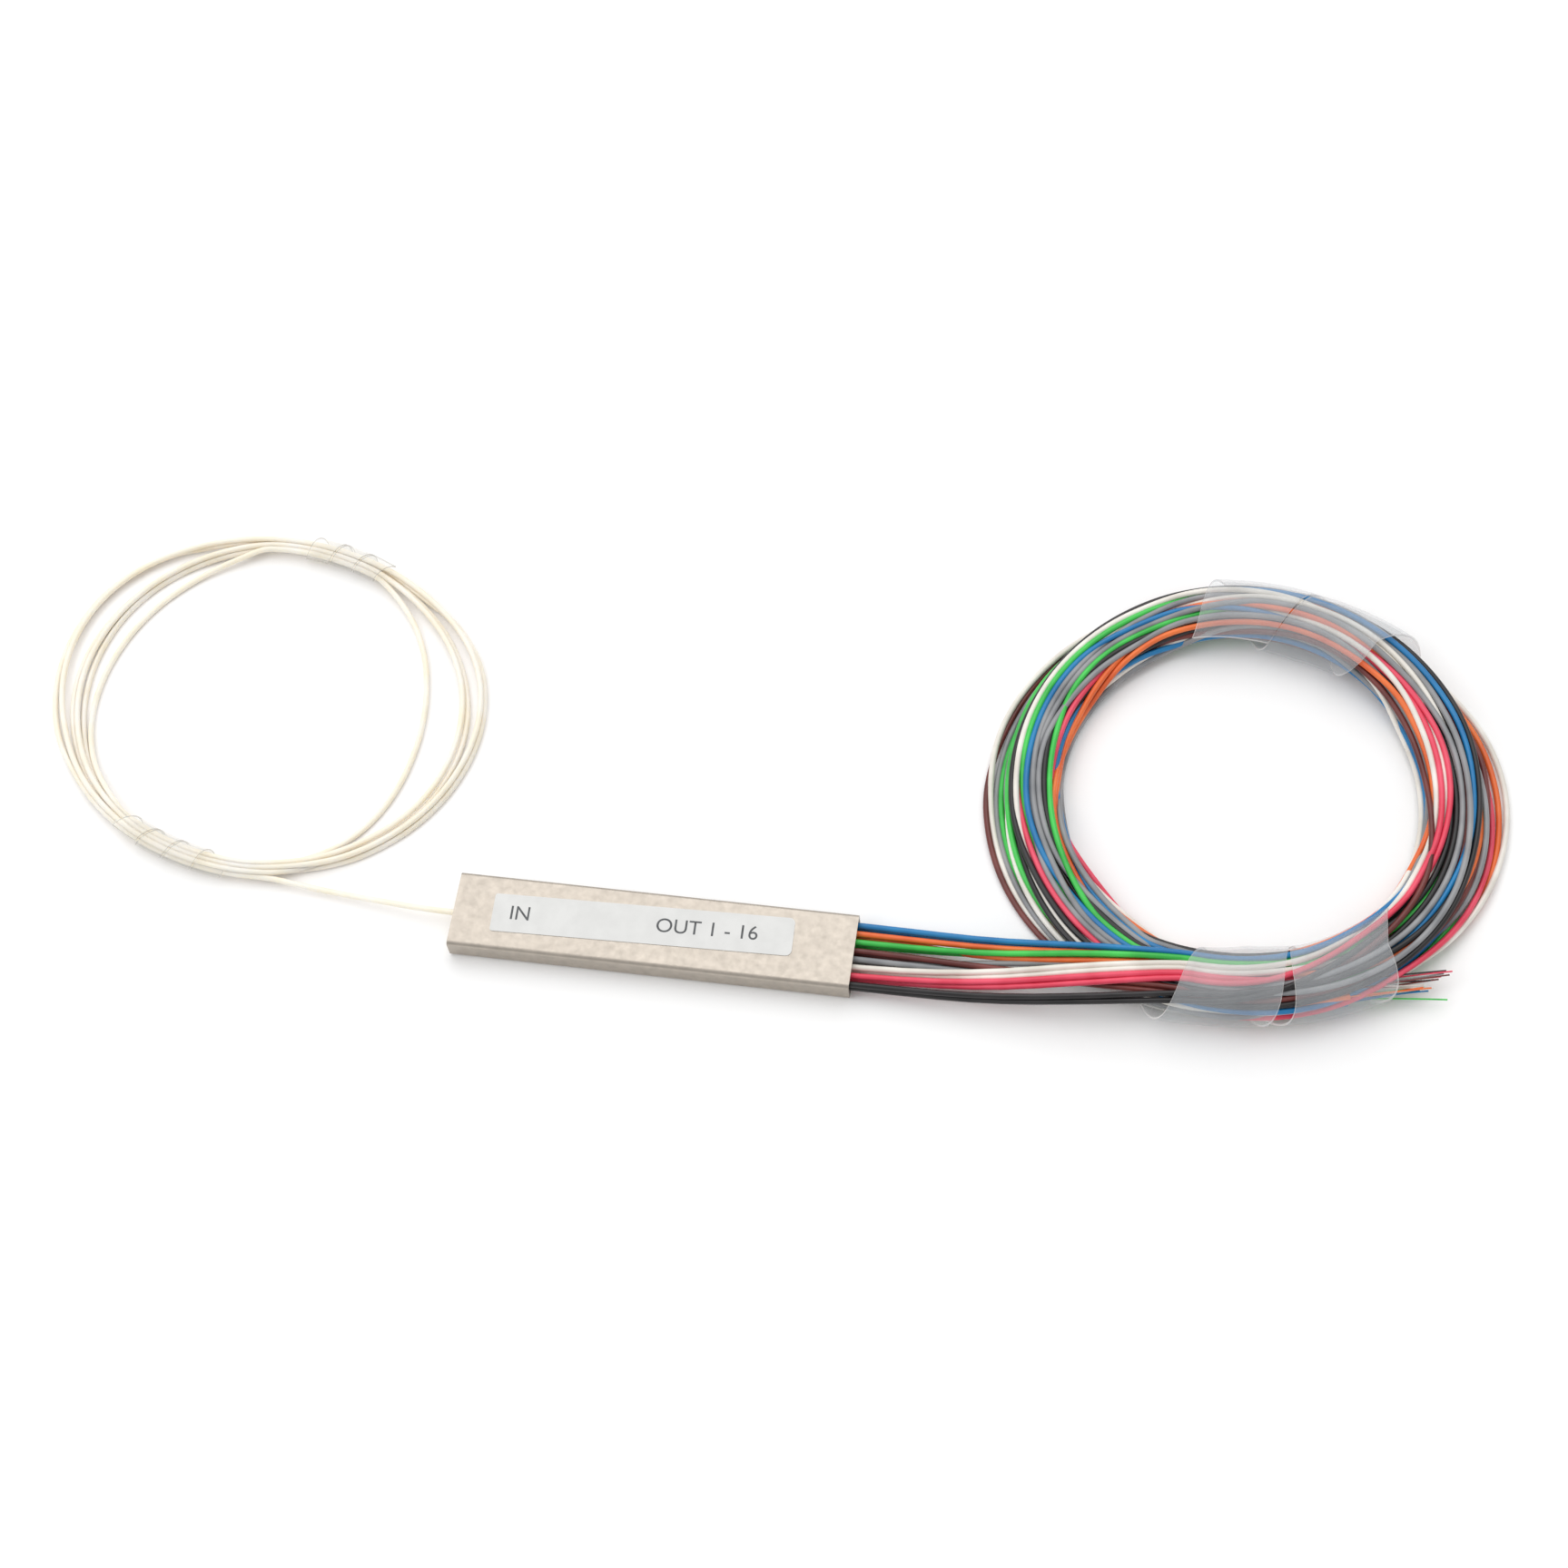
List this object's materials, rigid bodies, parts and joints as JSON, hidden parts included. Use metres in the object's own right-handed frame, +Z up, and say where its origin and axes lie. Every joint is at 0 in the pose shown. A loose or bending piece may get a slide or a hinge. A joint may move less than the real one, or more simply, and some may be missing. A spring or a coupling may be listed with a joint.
{
  "type": "plc fibre splitter",
  "caption": "Planar optical splitter in a flat steel tube, with one loosely coiled input tube and a coiled bundle of coloured output tubes held by spiral wraps.",
  "frame": {"origin": "middle of the steel tube's underside", "axes": "+X along the steel tube towards the output tubes, +Y across it towards the side where both coils lie, +Z up"},
  "size_m": [0.2265, 0.075, 0.0088],
  "materials": {
    "stainless_steel": "satin, faintly mottled",
    "label_vinyl": "semi-matte printed film",
    "potting_resin": "cast, slightly glossy",
    "silicone": "soft, matt",
    "silica": "polished",
    "borosilicate_glass": "ground and polished",
    "fibre_coating": "smooth coating",
    "tube_ivory": "satin",
    "tube_blue": "satin",
    "tube_orange": "satin",
    "tube_green": "satin",
    "tube_brown": "satin",
    "tube_slate": "satin",
    "tube_white": "satin",
    "tube_red": "satin",
    "tube_black": "satin",
    "tube_bundle": "satin, all eight colours together",
    "clear_polyethylene": "clear, soft",
    "frosted_polyethylene": "frosted, translucent",
    "bare_fibre": "smooth coloured coating"
  },
  "bodies": {
    "root": {"steel_tube": "stainless_steel", "label": "label_vinyl", "input_end_plug": "potting_resin", "output_end_plug": "potting_resin", "silicone_pad": "silicone", "splitter_chip": "silica", "chip_cover_glass": "borosilicate_glass", "input_array_base": "borosilicate_glass", "input_array_lid": "borosilicate_glass", "output_array_base": "borosilicate_glass", "output_array_lid": "borosilicate_glass", "input_fibre": "fibre_coating", "fan_out_fibres": "fibre_coating", "input_lead": "tube_ivory", "input_coil": "tube_ivory", "input_tie_upper": "clear_polyethylene", "input_tie_lower": "clear_polyethylene", "output_lead_01": "tube_blue", "output_lead_02": "tube_blue", "output_lead_03": "tube_orange", "output_lead_04": "tube_orange", "output_lead_05": "tube_green", "output_lead_06": "tube_green", "output_lead_07": "tube_brown", "output_lead_08": "tube_brown", "output_lead_09": "tube_slate", "output_lead_10": "tube_slate", "output_lead_11": "tube_white", "output_lead_12": "tube_white", "output_lead_13": "tube_red", "output_lead_14": "tube_red", "output_lead_15": "tube_black", "output_lead_16": "tube_black", "output_coil": "tube_bundle", "output_wrap_lower": "frosted_polyethylene", "output_wrap_upper": "frosted_polyethylene", "fibre_end_01": "bare_fibre", "fibre_end_02": "bare_fibre", "fibre_end_03": "bare_fibre", "fibre_end_04": "bare_fibre", "fibre_end_05": "bare_fibre", "fibre_end_06": "bare_fibre", "fibre_end_07": "bare_fibre", "fibre_end_08": "bare_fibre", "fibre_end_09": "bare_fibre", "fibre_end_10": "bare_fibre", "fibre_end_11": "bare_fibre", "fibre_end_12": "bare_fibre", "fibre_end_13": "bare_fibre", "fibre_end_14": "bare_fibre", "fibre_end_15": "bare_fibre", "fibre_end_16": "bare_fibre"}
  },
  "joints": []
}
